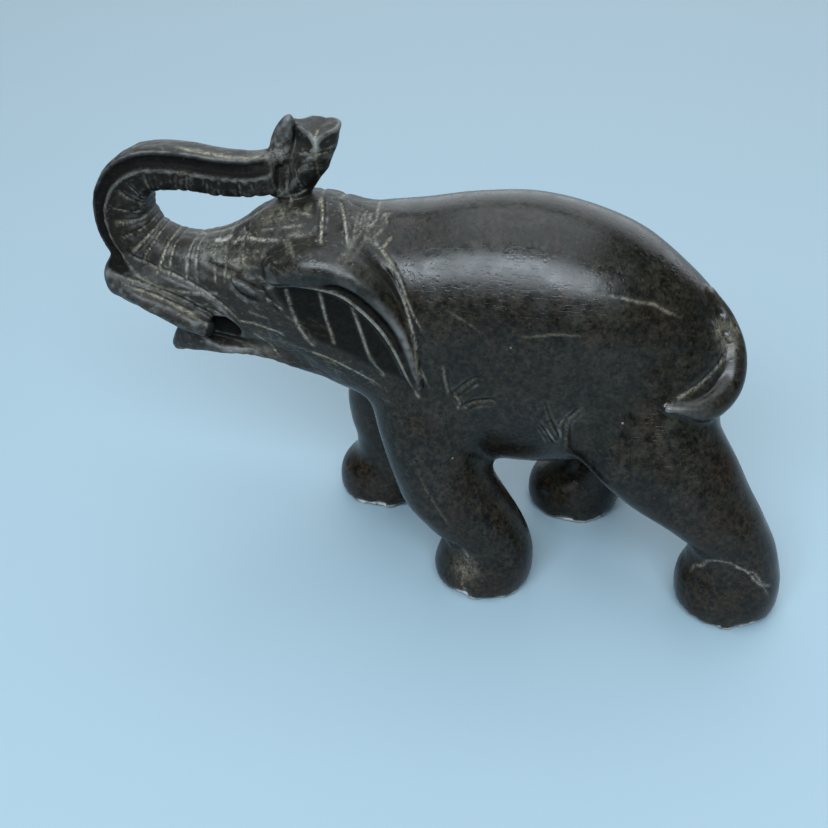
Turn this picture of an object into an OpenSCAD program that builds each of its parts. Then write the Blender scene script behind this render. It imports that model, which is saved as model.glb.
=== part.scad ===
// Carved jade elephant with a raised trunk.
// One carved stone, described as the regions a carver works.
// The animal faces -X, its left flank is on -Y, and its soles rest on Z = 0.

/* [Stance] */
// Sideways distance from the middle plane to each foot's centre
foot_spread = 17.5; // [15:0.5:19]
// Radius of a foot at its widest
foot_radius = 13; // [11.5:0.1:14]
// How far the soles are rounded in from the foot's widest radius
sole_inset = 0.9; // [0.3:0.1:1.5]

/* [Body] */
// Half the width of the barrel at its widest
body_half_width = 24; // [22:0.5:26]
// Height of the highest point of the back
back_height = 100; // [96:0.5:102]
// Height of the lowest point of the belly
belly_height = 29.5; // [27:0.5:33]

/* [Head] */
// Half the width of the skull between the ears
head_half_width = 17; // [15:0.5:19]
// How far the head turns to its left, in degrees
head_turn = 12; // [9:0.5:14]
// How far the jaw hangs open, in degrees
jaw_open = 0; // [-3:1:5]
// Radius of the hollow at each corner of the mouth
mouth_hole_radius = 4; // [3:0.5:4.5]

/* [Trunk] */
// Half the width of the trunk where it leaves the face
trunk_half_width = 7.2; // [6.5:0.1:8]
// Depth of the carved rings along the trunk
ring_depth = 0.35; // [0.1:0.05:0.45]

/* [Ears] */
// Thickness of an ear's flap
ear_thickness = 4.5; // [3.5:0.5:6]
// Radius of the rolled rim along an ear's edge
ear_rim_radius = 2.6; // [2:0.1:3]

/* [Tail] */
// Radius of the tail at its thickest
tail_radius = 4; // [3:0.1:4.5]

/* [Quality] */
// Facets around each rounded section
facets = 28; // [24:4:36]

/* [Hidden] */

stone = [0.16, 0.19, 0.15];
stone_pale = [0.33, 0.36, 0.30];

// Thickness of the slices that each skin is stretched over
slice = 0.04;
// Brings the middle of the elephant's length over X = 0
mid_shift = 1.2;
// Point about which the head is turned, at the root of the neck
neck_x = -20;
neck_y = -1;

body_mid = (back_height + belly_height) / 2;
body_half = (back_height - belly_height) / 2;

// A section is [x, y, z, half width across, half height along, lean].
// A lean of 0 faces +X, 90 faces up and 180 faces -X.

// Catmull-Rom blend of four sections
function blend(a, b, c, d, t) =
    0.5 * (2 * b + (c - a) * t + (2 * a - 5 * b + 4 * c - d) * t * t
           + (3 * b - a - 3 * c + d) * t * t * t);

// The same sections with steps - 1 more between each pair
function refine(s, steps) =
    [for (i = [0:len(s) - 2])
         for (k = [0:steps - 1])
             blend(s[max(i - 1, 0)], s[i], s[i + 1],
                   s[min(i + 2, len(s) - 1)], k / steps),
     s[len(s) - 1]];

// Point of a squared-off ellipse; power 2 is a plain ellipse
function squared(a, r, power) =
    [r[0] * sign(cos(a)) * pow(abs(cos(a)), 2 / power),
     r[1] * sign(sin(a)) * pow(abs(sin(a)), 2 / power)];

module section(s, power) {
    translate([s[0], s[1], s[2]])
    rotate([0, -s[5], 0])
    rotate([0, 90, 0])
    linear_extrude(slice, center = true)
    polygon([for (k = [0:facets - 1])
             squared(360 * k / facets, [s[4], s[3]], power)]);
}

// Skin stretched over a row of sections
module skin(s, power = 2) {
    for (i = [0:len(s) - 2])
        hull() {
            section(s[i], power);
            section(s[i + 1], power);
        }
}

// Round bar through points [x, y, z, radius]
module bar(p, sides = 16) {
    for (i = [0:len(p) - 2])
        hull() {
            translate([p[i][0], p[i][1], p[i][2]])
                sphere(p[i][3], $fn = sides);
            translate([p[i + 1][0], p[i + 1][1], p[i + 1][2]])
                sphere(p[i + 1][3], $fn = sides);
        }
}

module placed() {
    translate([mid_shift, 0, 0])
        children();
}

// Turns what it holds about the root of the neck
module turned() {
    translate([neck_x, neck_y, 0])
    rotate([0, 0, head_turn])
    translate([-neck_x, 0, 0])
        children();
}

// Barrel from the shoulders to the rump: [x, height share, size share, width share]
barrel = [
    [-32, 0.19, 0.62, 0.68],
    [-22, 0.17, 0.69, 0.84],
    [-10, 0.06, 0.85, 0.94],
    [4, 0.01, 0.97, 0.98],
    [18, 0, 1, 1],
    [32, -0.01, 0.93, 0.98],
    [44, -0.03, 0.81, 0.86],
    [54, -0.075, 0.64, 0.7],
    [61.5, -0.11, 0.46, 0.53],
    [66.5, -0.15, 0.3, 0.38],
    [69.3, -0.18, 0.12, 0.2]
];

module torso_form() {
    skin(refine([for (b = barrel)
                 [b[0], 0, body_mid + b[1] * body_half, b[3] * body_half_width,
                  b[2] * body_half, 0]], 3), 2.15);
}

// Skull and upper jaw, before the head is turned: [x, mid height, half width, half height]
skull = [
    [-22, 71, 1.1, 23],
    [-30, 74.5, 1.1, 24],
    [-38, 77.5, 1.06, 21.5],
    [-46, 78.5, 0.95, 18],
    [-54, 77.5, 0.8, 14.2],
    [-62, 76.8, 0.66, 11.4],
    [-70, 77.4, 0.57, 9],
    [-77, 78.4, 0.5, 6.8],
    [-82.4, 79.6, 0.42, 5.2],
    [-85.4, 80.4, 0.3, 3.6]
];

module skull_form() {
    turned()
    difference() {
        union() {
            skin(refine([for (h = skull)
                         [h[0], 0, h[1], h[2] * head_half_width, h[3], 180]], 2), 2.3);
            for (side = [-1, 1])
                eye_form(side);
        }
        // Mouth, drilled in behind the tusks
        for (side = [-1, 1])
            translate([-57.8, side * 11.4, 69.2])
                sphere(mouth_hole_radius, $fn = 20);
    }
}

// Almond eye with its lid, before the head is turned
module eye_form(side) {
    translate([-50.4, side * 13.4, 83])
    rotate([0, 24, side * 16])
    scale([1, 0.4, 0.52])
        sphere(4.6, $fn = 20);
}

// Centre of the trunk: [x, y, z, half width, half thickness, lean]
trunk_path = [
    [-54, -9.5, 83, 1.16, 7.4, 180],
    [-62, -10.2, 82.4, 1.12, 7.3, 178],
    [-70, -10.4, 83.6, 1.06, 7.2, 160],
    [-76.8, -10.2, 88, 1, 7.2, 128],
    [-79.8, -9.8, 95, 0.93, 7.1, 95],
    [-78.4, -9.1, 101.6, 0.88, 6.5, 58],
    [-72.8, -8.3, 105.8, 0.84, 5.6, 18],
    [-64.3, -7.2, 106, 0.81, 5.2, -2],
    [-55.8, -6, 104.6, 0.79, 5.1, -4],
    [-48.3, -4.8, 104, 0.77, 5, 4],
    [-42.6, -3.8, 105, 0.76, 5, 28]
];
rings = 4;

// Widths swell and shrink along the trunk to make its carved rings
module trunk_form() {
    s = refine(trunk_path, rings);
    skin([for (i = [0:len(s) - 1])
          [s[i][0], s[i][1], s[i][2],
           s[i][3] * trunk_half_width - (i % 2) * ring_depth,
           s[i][4], s[i][5]]], 3.2);
}

// Flared end of the trunk, turned up above the forehead
tip_path = [
    [-45, -4.2, 104.2, 5.5, 4.8, 18],
    [-41, -3.6, 105.4, 5.6, 5.3, 36],
    [-37.9, -3, 107.6, 5.8, 5.8, 52],
    [-35.6, -2.6, 110.6, 6.1, 6.6, 64],
    [-34.2, -2.4, 114, 6, 6.5, 72]
];

module trunk_tip_form() {
    difference() {
        union() {
            skin(refine(tip_path, 2), 3);
            // Pad that rests on the forehead
            hull() {
                translate([-37, -3, 102.6])
                    sphere(4.4, $fn = 16);
                translate([-42, -3.6, 101.6])
                    sphere(3.2, $fn = 16);
                translate([-34.2, -2.6, 107.6])
                    sphere(4, $fn = 16);
            }
            // Finger at the front edge of the tip
            hull() {
                translate([-40.8, -2.8, 110])
                    sphere(2.6, $fn = 12);
                translate([-39.4, -2.6, 116.4])
                    sphere(1.1, $fn = 12);
            }
        }
        // Notch between the finger and the broad lip
        translate([-37.4, -2.6, 117])
            rotate([90, 40, 0])
                cylinder(r = 1.8, h = 30, center = true, $fn = 3);
    }
}

// Lower jaw and its raised lip: [x, z, half width, half height] before the head is turned
jaw = [
    [-33, 60, 12, 8],
    [-41, 61, 11.6, 6],
    [-48, 62.2, 10.8, 3.6],
    [-55, 62.6, 9.8, 2.4],
    [-61, 62.9, 8.6, 2.9],
    [-65, 64, 7.2, 4.3],
    [-68.5, 63.8, 5.2, 4.4],
    [-71.3, 61.8, 3, 2.8],
    [-72.7, 60.6, 1.2, 1.2]
];

module jaw_form() {
    turned()
    translate([-40, 0, 62])
    rotate([0, jaw_open, 0])
    translate([40, 0, -62])
        skin(refine([for (j = jaw) [j[0], 0, j[1], j[2], j[3], 180]], 2), 2.4);
}

// Tusk lying along the upper lip, before the head is turned
module tusk_form(side) {
    turned()
        bar([[-62, side * 10.9, 70.5, 2.5],
             [-65, side * 10.3, 71.8, 2.9],
             [-70, side * 9.3, 74.1, 2.8],
             [-76, side * 8, 76.8, 2.4],
             [-83, side * 5.6, 79.6, 1.5]]);
}

// Ear outline in X and Z, starting at the brow and going round over the top
ear_outline = [
    [-44.5, 88], [-38.5, 92], [-31, 93], [-24.5, 91], [-18.8, 86.5],
    [-14.3, 79.5], [-11.8, 70], [-9.8, 61], [-18, 65], [-25, 67],
    [-31, 70], [-37, 73], [-43, 79]
];
// Distance of the rim from the head's middle plane at those points
ear_reach = [15, 19.5, 21.5, 22.5, 23.2, 24, 25.4, 27, 24.5, 22, 20, 18, 16];
rim_points = 8;
// How much further forward and lower the right ear is carved, [x, z]
right_ear_shift = [-6, -2.5];

module ear_corner(at, reach) {
    translate([at[0], reach - ear_thickness / 2 + 0.6, at[1]])
        rotate([90, 0, 0])
            cylinder(r = 0.8, h = ear_thickness, center = true, $fn = 10);
}

module ear_form(side) {
    last = len(ear_outline) - 1;
    shift = side > 0 ? right_ear_shift : [0, 0];
    turned()
    translate([shift[0], 0, shift[1]])
    scale([1, side, 1]) {
        // Flap, fanned out from its middle
        for (i = [0:last])
            hull() {
                ear_corner(ear_outline[i], ear_reach[i]);
                ear_corner(ear_outline[(i + 1) % (last + 1)],
                           ear_reach[(i + 1) % (last + 1)]);
                ear_corner([-28, 79], 19.5);
            }
        // Rolled rim
        bar([for (i = [0:rim_points - 1])
             [ear_outline[i][0], ear_reach[i], ear_outline[i][1],
              ear_rim_radius * (i == rim_points - 1 ? 0.45 : 1)]], 12);
        // Root that carries the flap on the side of the head
        hull() {
            translate([-29, 12, 79])
                scale([1, 0.5, 1])
                    sphere(11, $fn = 20);
            translate([-26, 18.5, 79])
                scale([1, 0.2, 1])
                    sphere(9, $fn = 20);
        }
    }
}

// Leg sections from the sole up: [x, sideways share, z, half width, half length]
left_front = [
    [9.1, 1, 0, 12.1, 12.1],
    [9.1, 1, 4, 13, 12.9],
    [9.8, 1, 9, 12.4, 12.2],
    [10.2, 1, 13, 11, 10.9],
    [6.2, 1, 18.5, 11.4, 12.6],
    [1.8, 0.99, 24.5, 12, 13.3],
    [-1.6, 0.96, 31, 12.1, 12.6],
    [-5, 0.9, 40, 12.2, 12],
    [-6, 0.8, 50, 12, 13.6],
    [-7, 0.66, 60, 10.8, 14],
    [-6, 0.5, 70, 8, 10]
];
right_front = [
    [-24.4, 0.92, 0, 12.1, 12.1],
    [-24.3, 0.92, 4, 13, 13],
    [-23.8, 0.92, 9, 12.6, 12.7],
    [-21.4, 0.92, 14.5, 11.2, 10.9],
    [-20.6, 0.92, 19, 11.4, 11.3],
    [-20.4, 0.92, 26, 12, 13],
    [-20, 0.9, 33, 12.1, 13.8],
    [-17.5, 0.85, 41, 12.2, 13.9],
    [-15, 0.76, 50, 12, 14],
    [-13, 0.62, 60, 10.8, 13.5],
    [-10, 0.48, 70, 8, 10]
];
left_hind = [
    [71.5, 1.03, 0, 12.1, 12.1],
    [71.5, 1.03, 4, 13, 13],
    [71.6, 1.03, 9, 12.7, 12.9],
    [72, 1.03, 14, 11.4, 11.5],
    [71.4, 1.02, 18.8, 10.9, 10.7],
    [66, 1, 25.5, 11.8, 12.9],
    [58.2, 0.96, 32.5, 12.8, 16.8],
    [51.5, 0.88, 41, 13.6, 19],
    [48.6, 0.74, 50, 13, 16.4],
    [48, 0.58, 60, 11, 13],
    [48, 0.45, 68, 8, 9]
];
right_hind = [
    [30, 1.03, 0, 12.1, 12.1],
    [30.2, 1.03, 4, 13, 13],
    [31.5, 1.03, 9, 12.8, 13.2],
    [36, 1.03, 15, 11.4, 11.5],
    [38, 1.02, 20, 11, 11.2],
    [37.6, 1, 27, 11.8, 12.4],
    [37, 0.96, 34, 12.8, 13.8],
    [38.5, 0.88, 42, 13.6, 15.4],
    [41, 0.74, 51, 13, 16],
    [43, 0.58, 60, 11, 14],
    [44, 0.45, 68, 8, 9]
];

// Scales the foot's sections with the foot, leaves the rest of the leg alone
function foot_size(r, z) =
    z == 0 ? foot_radius - sole_inset : z < 12 ? r * foot_radius / 13 : r;

module leg_form(s, side) {
    skin(refine([for (l = s)
                 [l[0], side * l[1] * foot_spread, l[2] + (l[2] == 0 ? slice / 2 : 0),
                  foot_size(l[3], l[2]), foot_size(l[4], l[2]), 90]], 2), 2.05);
}

module tail_form() {
    bar([[59, -1, 78.5, tail_radius * 0.6],
         [63, -2.5, 72.5, tail_radius * 0.85],
         [65.6, -5, 66, tail_radius],
         [65.8, -8.5, 60.4, tail_radius],
         [63.6, -13, 57.4, tail_radius * 0.92],
         [59.5, -17.5, 56.6, tail_radius * 0.75],
         [52.3, -21.5, 58.8, tail_radius * 0.25]], 16);
}

module torso() {
    color(stone)
    placed()
        torso_form();
}

module head() {
    color(stone_pale)
    placed()
        difference() {
            skull_form();
            torso_form();
            jaw_form();
        }
}

module trunk() {
    color(stone_pale)
    placed()
        difference() {
            trunk_form();
            skull_form();
            torso_form();
        }
}

module trunk_tip() {
    color(stone_pale)
    placed()
        difference() {
            trunk_tip_form();
            trunk_form();
            skull_form();
            torso_form();
        }
}

module lower_jaw() {
    color(stone_pale)
    placed()
        difference() {
            jaw_form();
            torso_form();
        }
}

module tusk(side) {
    color(stone_pale)
    placed()
        difference() {
            tusk_form(side);
            skull_form();
            trunk_form();
            jaw_form();
        }
}

module left_tusk() {
    tusk(-1);
}

module right_tusk() {
    tusk(1);
}

module ear(side) {
    color(stone)
    placed()
        difference() {
            ear_form(side);
            skull_form();
            torso_form();
            jaw_form();
        }
}

module left_ear() {
    ear(-1);
}

module right_ear() {
    ear(1);
}

module leg(s, side) {
    color(stone)
    placed()
        difference() {
            leg_form(s, side);
            torso_form();
            skull_form();
        }
}

module left_front_leg() {
    leg(left_front, -1);
}

module right_front_leg() {
    leg(right_front, 1);
}

module left_hind_leg() {
    leg(left_hind, -1);
}

module right_hind_leg() {
    leg(right_hind, 1);
}

module tail() {
    color(stone)
    placed()
        difference() {
            tail_form();
            torso_form();
            leg_form(left_hind, -1);
        }
}

torso();
head();
trunk();
trunk_tip();
lower_jaw();
left_tusk();
right_tusk();
left_ear();
right_ear();
left_front_leg();
right_front_leg();
left_hind_leg();
right_hind_leg();
tail();
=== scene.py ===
import math

import bpy
import numpy as np
from mathutils import Matrix, Vector


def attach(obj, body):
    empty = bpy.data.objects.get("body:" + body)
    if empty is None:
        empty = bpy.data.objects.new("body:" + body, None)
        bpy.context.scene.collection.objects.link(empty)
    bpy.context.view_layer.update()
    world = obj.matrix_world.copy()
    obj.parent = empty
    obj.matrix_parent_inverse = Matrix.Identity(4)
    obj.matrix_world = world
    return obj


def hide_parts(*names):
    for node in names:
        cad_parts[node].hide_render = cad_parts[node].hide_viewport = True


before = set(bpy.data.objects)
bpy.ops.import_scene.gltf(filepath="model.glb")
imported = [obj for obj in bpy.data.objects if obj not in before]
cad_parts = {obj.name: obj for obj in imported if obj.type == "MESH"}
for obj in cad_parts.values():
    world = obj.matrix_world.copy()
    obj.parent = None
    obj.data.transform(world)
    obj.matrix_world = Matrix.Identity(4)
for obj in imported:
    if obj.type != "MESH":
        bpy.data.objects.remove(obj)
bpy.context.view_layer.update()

# The stone is carved in the carver's frame, in millimetres: -x is where the
# elephant faces, -y is its left flank, and its soles rest on z = 0.
MM = 0.001
STEP = 0.46  # spacing of the grid that is carved
BLOCK_LOW = np.array([-90.0, -34.0, -2.0])
BLOCK_HIGH = np.array([87.0, 34.0, 121.0])
FAR = 50.0  # distance held where nothing is carved
BAND = 2.4  # depth of stone that the small tools reach
MID_SHIFT = 1.2  # moves the carver's frame to the CAD frame, in x

HEAD_PIVOT = (-20.0, -1.0)  # x and y of the root of the neck
HEAD_TURN = math.radians(12.0)
BODY_MID, BODY_HALF = 64.75, 35.25  # height of the body's middle, and half its depth
BODY_WIDE = 24.0  # half width of the body
BARREL_MID, BARREL_REACH = 16.2, 54.4  # middle and half length of the body in x
SKULL_END = -87.2
JAW_ENDS = (-73.2, -30.0)
FOOT_SPREAD = 17.5  # how far the feet stand from the middle plane
TRUNK_WIDE = 7.2  # half width that the trunk's shares are of


# --- curves and distances ---

def hermite(table, at, rounded=()):
    """Smooth values of a table's columns at a place along its first column.
    Columns in `rounded` run on their squares, so that they close as a round end."""
    table = np.array(table, float)
    if table[0, 0] > table[-1, 0]:
        table = table[::-1]
    knots = table[:, 0]
    at = np.clip(at, knots[0], knots[-1])
    i = np.clip(np.searchsorted(knots, at, side="right") - 1, 0, len(knots) - 2)
    gap = knots[i + 1] - knots[i]
    t = (at - knots[i]) / gap
    columns = []
    for c in range(1, table.shape[1]):
        value = table[:, c] ** 2 if c in rounded else table[:, c]
        slope = np.gradient(value, knots)
        a, b = value[i], value[i + 1]
        ma, mb = slope[i] * gap, slope[i + 1] * gap
        out = ((2 * t**3 - 3 * t**2 + 1) * a + (t**3 - 2 * t**2 + t) * ma
               + (3 * t**2 - 2 * t**3) * b + (t**3 - t**2) * mb)
        columns.append(np.sqrt(np.maximum(out, 1e-4)) if c in rounded else out)
    return columns


def smooth_path(points, per_gap=8):
    """Points of a Catmull-Rom curve through the given ones."""
    points = np.array(points, float)
    steps = np.linspace(0, len(points) - 1, (len(points) - 1) * per_gap + 1)
    table = np.column_stack([np.arange(len(points)), points])
    return np.column_stack(hermite(table, steps))


def smooth_step(low, high, value):
    t = np.clip((value - low) / (high - low), 0, 1)
    return t * t * (3 - 2 * t)


def soft_min(a, b, blend):
    h = np.maximum(blend - np.abs(a - b), 0)
    return np.minimum(a, b) - h * h / (4 * blend)


def soft_max(a, b, blend):
    return -soft_min(-a, -b, blend)


def oval(u, v, ru, rv, power=2.0):
    """About the distance to a squared-off ellipse across a limb."""
    a, b = np.abs(u) / ru + 1e-6, np.abs(v) / rv + 1e-6
    a1, b1 = a ** (power - 1), b ** (power - 1)
    k = (a * a1 + b * b1) ** (1 / power)
    slope = np.sqrt((a1 / ru) ** 2 + (b1 / rv) ** 2) * k ** (1 - power)
    return (k - 1) / slope


def turned(x, y):
    """Where a point would be if the head still faced straight ahead."""
    dx, dy = x - HEAD_PIVOT[0], y - HEAD_PIVOT[1]
    c, s = math.cos(HEAD_TURN), math.sin(HEAD_TURN)
    return dx * c + dy * s + HEAD_PIVOT[0], dy * c - dx * s


def path_distance(u, v, path):
    """Distance in a plane to a line of points, and how far along it that is, 0 to 1."""
    best, along = np.full(np.shape(u), FAR), np.zeros(np.shape(u))
    for i in range(len(path) - 1):
        a, d = path[i], path[i + 1] - path[i]
        t = np.clip(((u - a[0]) * d[0] + (v - a[1]) * d[1]) / (d @ d), 0, 1)
        dist = np.hypot(u - a[0] - t * d[0], v - a[1] - t * d[1])
        closer = dist < best
        best = np.where(closer, dist, best)
        along = np.where(closer, (i + t) / (len(path) - 1), along)
    return best, along


def inside_outline(u, v, path):
    """Distance to a closed outline, negative inside it."""
    dist, _ = path_distance(u, v, np.vstack([path, path[:1]]))
    inside = np.zeros(np.shape(u), bool)
    for a, b in zip(path, np.roll(path, -1, axis=0)):
        crosses = (a[1] > v) != (b[1] > v)
        reach = a[0] + (v - a[1]) / (b[1] - a[1] + 1e-9) * (b[0] - a[0])
        inside ^= crosses & (u < reach)
    return np.where(inside, -dist, dist)


def in_box(a, b, low, high):
    return (a > low[0]) & (a < high[0]) & (b > low[1]) & (b < high[1])


def ridge(distance, height, half_width):
    """A rounded ridge beside a line, or a groove where `height` is below 0."""
    return height * np.exp(-(distance / half_width) ** 2)


def rope(x, y, z, points):
    """Distance to a round rope through [x, y, z, radius]."""
    best = np.full(np.broadcast_shapes(x.shape, y.shape, z.shape), FAR)
    path = smooth_path(points, 12)
    for a, b in zip(path[:-1], path[1:]):
        d = b[:3] - a[:3]
        t = ((x - a[0]) * d[0] + (y - a[1]) * d[1] + (z - a[2]) * d[2]) / (d @ d)
        t = np.clip(t, 0, 1)
        off = np.sqrt((x - a[0] - t * d[0])**2 + (y - a[1] - t * d[1])**2
                      + (z - a[2] - t * d[2])**2)
        best = np.minimum(best, off - a[3] - t * (b[3] - a[3]))
    return best


# --- forms of the elephant ---

# [x, height, half width, half height], the last three as shares of the body
BARREL = [
    [-38, 0.19, 0.5, 0.5], [-32, 0.19, 0.68, 0.62], [-22, 0.17, 0.84, 0.69],
    [-10, 0.06, 0.94, 0.85], [4, 0.01, 0.98, 0.97], [18, 0, 1, 1],
    [32, -0.01, 0.98, 0.93], [44, -0.03, 0.86, 0.81], [54, -0.075, 0.7, 0.64],
    [61.5, -0.11, 0.53, 0.46], [66.5, -0.15, 0.37, 0.29], [69.4, -0.18, 0.2, 0.13],
    [70.4, -0.19, 0, 0],
]
# [x, height, half width, half height] with the head facing straight ahead
SKULL = [
    [-18, 70, 17, 21], [-22, 71, 18.7, 23], [-30, 74.5, 18.7, 24],
    [-38, 77.5, 18, 21.5], [-46, 78.5, 16.2, 18], [-54, 77.5, 13.6, 14.2],
    [-62, 76.8, 11.2, 11.4], [-70, 77.4, 9.7, 9], [-77, 78.4, 8.5, 6.8],
    [-82.4, 79.6, 7.1, 5.2], [-85.6, 80.3, 5.4, 3.7], [-87, 80.5, 0, 0],
]
EYE = (-50.4, 13.6, 83.0)
EYE_TILT = math.radians(24.0)
EYE_LONG, EYE_SHORT, EYE_OUT = 4.4, 2.5, 2.2  # half sizes of the eyeball
EYE_MEAN = 2.3  # about the mean of the short ones
MOUTH = (-58.0, 11.4, 69.2)  # hollow at the corner of the mouth
MOUTH_HOLE = 4.1
JAW = [
    [-30, 60, 12, 9], [-41, 61, 11.6, 6], [-48, 62.2, 10.8, 3.6],
    [-55, 62.6, 9.8, 2.4], [-61, 62.9, 8.6, 2.9], [-65, 64, 7.4, 4.4],
    [-68.5, 63.9, 5.6, 4.6], [-71.3, 61.8, 3.4, 3], [-73, 60.4, 0, 0],
]
# Trunk as [x, z, y, half width share, half thickness] from the face to its end
TRUNK = [
    [-54, 83, -9.5, 1.16, 7.4], [-62, 82.4, -10.2, 1.12, 7.3],
    [-70, 83.6, -10.4, 1.06, 7.2], [-76.8, 88, -10.2, 1, 7.2],
    [-79.8, 95, -9.8, 0.93, 7.1], [-78.4, 101.6, -9.1, 0.88, 6.5],
    [-72.8, 105.8, -8.3, 0.84, 5.6], [-64.3, 106, -7.2, 0.81, 5.2],
    [-55.8, 104.6, -6, 0.79, 5.1], [-48.3, 104, -4.8, 0.77, 5],
    [-42.6, 105, -3.8, 0.76, 5],
]
TRUNK_TIP = [
    [-47, 104, -4.6, 0.76, 4.8], [-43, 104.8, -3.8, 0.77, 5.1],
    [-39.6, 106.4, -3.3, 0.79, 5.5], [-36.9, 109.2, -2.8, 0.83, 6.2],
    [-35, 112.5, -2.5, 0.85, 6.7], [-33.6, 116.2, -2.4, 0.82, 6.3],
    [-33, 119, -2.4, 0.8, 6],
]
# Pad under the trunk's end and finger over its front, as [x, y, z, radius]
TIP_PAD = [[-43, -3.6, 101.6, 3.2], [-38.9, -3.2, 102.2, 4.4], [-34.8, -2.7, 107.4, 4.2]]
TIP_FINGER = [[-41.6, -3, 109, 3.0], [-41, -2.9, 112.6, 2.7], [-39.7, -2.8, 116, 1.9],
              [-39, -2.8, 117.9, 0.7]]
TIP_CORNER = (-31.8, -8.9)  # x and y of the edge where its two flats meet
TIP_FLARE, TIP_TOP = 112.5, 115.6  # heights where the flats widen and where they end
RING_PITCH, RING_DEPTH = 3.7, 0.34  # rings cut round the trunk
RING_WIDTH, RING_DIRT_WIDTH = 0.13, 0.07  # shares of the pitch
RING_FADE = 3.0  # length over which the rings fade out
COVE = 1.7  # hollow along the trunk's outer corners
TUSK = [
    [-62, 10.9, 70.5, 2.5], [-65, 10.3, 71.8, 2.9], [-70, 9.3, 74.1, 2.8],
    [-76, 8, 76.8, 2.4], [-83.4, 5.6, 79.7, 1.5],
]
TAIL = [
    [59, -1, 78.5, 2.2], [63, -2.5, 72.5, 3.2], [65.6, -5, 66, 3.9],
    [65.8, -8.5, 60.4, 4], [63.6, -13, 57.4, 3.7], [59.5, -17.5, 56.8, 3.2],
    [52.3, -21.5, 58.8, 1],
]
# Ear outline in x and z with the head straight, from the brow round the top
EAR = [
    [-46.4, 85.8], [-46, 89.6], [-42.2, 92.6], [-37.5, 94.2], [-31, 94.7],
    [-25, 92.6], [-19.2, 88], [-14.8, 81.5], [-11.6, 72.5], [-10, 60.4],
    [-15.5, 61], [-21, 62.4], [-26.5, 65], [-31.5, 67.6], [-36.5, 69.8],
    [-40.5, 75.5], [-44.8, 81.5],
]
# How far the ear stands out from the middle plane at [x, z]
EAR_REACH = [
    [-44.5, 88, 18], [-38.5, 92, 21], [-31, 93, 22.3], [-24.5, 91, 23],
    [-18.8, 86.5, 23.6], [-14.3, 79.5, 24.4], [-11.8, 70, 25.6], [-10, 60, 27],
    [-22, 64, 23.5], [-31, 69, 20.5], [-40, 76, 17.5], [-28, 79, 22],
]
# Lines on the ear in x and z: the swell of its turned-over flap, the groove under
# that, the sharp fold below the groove, the ribs, and the edge of the sunk middle
EAR_FLAP = [[-45.2, 86.4], [-41, 88.4], [-36, 89.6], [-31, 89.4], [-25.2, 87.2],
            [-20, 83], [-15.8, 77.2], [-13, 70], [-11.4, 62]]
EAR_GROOVE = [[-31.5, 86.6], [-28, 85.5], [-24.6, 83.1], [-21.1, 79.6],
              [-17.8, 75.3], [-15.1, 69.3], [-12.6, 61.5]]
EAR_FOLD = [[-46, 83], [-43.5, 84.2], [-40, 85], [-35.5, 85.4], [-31.5, 85],
            [-28.5, 83.9], [-25.4, 81.4], [-20.3, 76], [-17, 70.6], [-14.2, 64.4],
            [-11.3, 58]]
EAR_RIBS = [
    [[-41.3, 83.4], [-40.5, 78.8], [-38.7, 72.6], [-36, 68]],
    [[-33.4, 83.6], [-32.6, 77.4], [-31.5, 72.6], [-31, 69.5]],
    [[-26, 80], [-24.2, 73.2], [-22.5, 67], [-19.6, 62]],
]
EAR_INNER = [[-45, 84.6], [-40.8, 85], [-35.1, 84.7], [-29.2, 82.9],
             [-25.4, 80.2], [-20.3, 74.6], [-17, 69], [-14.4, 63.2],
             [-11, 56], [-28, 60], [-42, 66], [-47, 78]]
# [height, half width] of what runs along those lines
FLAP_SWELL, GROOVE_CUT = (2.0, 3.6), (-1.7, 1.3)
FOLD_RIDGE, RIB_RIDGE = (0.9, 0.6), (0.75, 0.7)
EAR_SINK = 1.9  # depth of the sunk middle
EAR_SHOULDER = 85.5  # height from which the flap leans inwards
EAR_LEAN = 0.01
EAR_ROOT = 9.0  # how near to the middle plane an ear goes
EAR_GRID = 0.4  # spacing on which an ear's face is worked out
RIGHT_EAR_SHIFT = (-6.0, -2.5)

# Legs from the sole up: [height, x, sideways share, half width, half length]
LEFT_FRONT = [
    [-4, 9.1, 1, 11.4, 11.4], [0, 9.1, 1, 12.2, 12.1], [4, 9.1, 1, 13, 12.9],
    [9, 9.8, 1, 12.4, 12.2], [13, 10.2, 1, 11, 10.9], [18.5, 6.2, 1, 11.4, 12.6],
    [24.5, 1.8, 0.99, 12, 13.3], [31, -1.6, 0.96, 12.1, 12.6],
    [40, -5, 0.9, 12.2, 12], [50, -6, 0.8, 12, 13.6], [60, -7, 0.66, 10.8, 14],
    [70, -6, 0.5, 8, 10], [74, -6, 0.4, 0, 0],
]
RIGHT_FRONT = [
    [-4, -24.4, 0.92, 11.4, 11.4], [0, -24.4, 0.92, 12.2, 12.1],
    [4, -24.3, 0.92, 13, 13], [9, -23.8, 0.92, 12.6, 12.7],
    [14.5, -21.4, 0.92, 11.2, 10.9], [19, -20.6, 0.92, 11.4, 11.3],
    [26, -20.4, 0.92, 12, 13], [33, -20, 0.9, 12.1, 13.8],
    [41, -17.5, 0.85, 12.2, 13.9], [50, -15, 0.76, 12, 14],
    [60, -13, 0.62, 10.8, 13.5], [70, -10, 0.48, 8, 10], [74, -10, 0.4, 0, 0],
]
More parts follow.
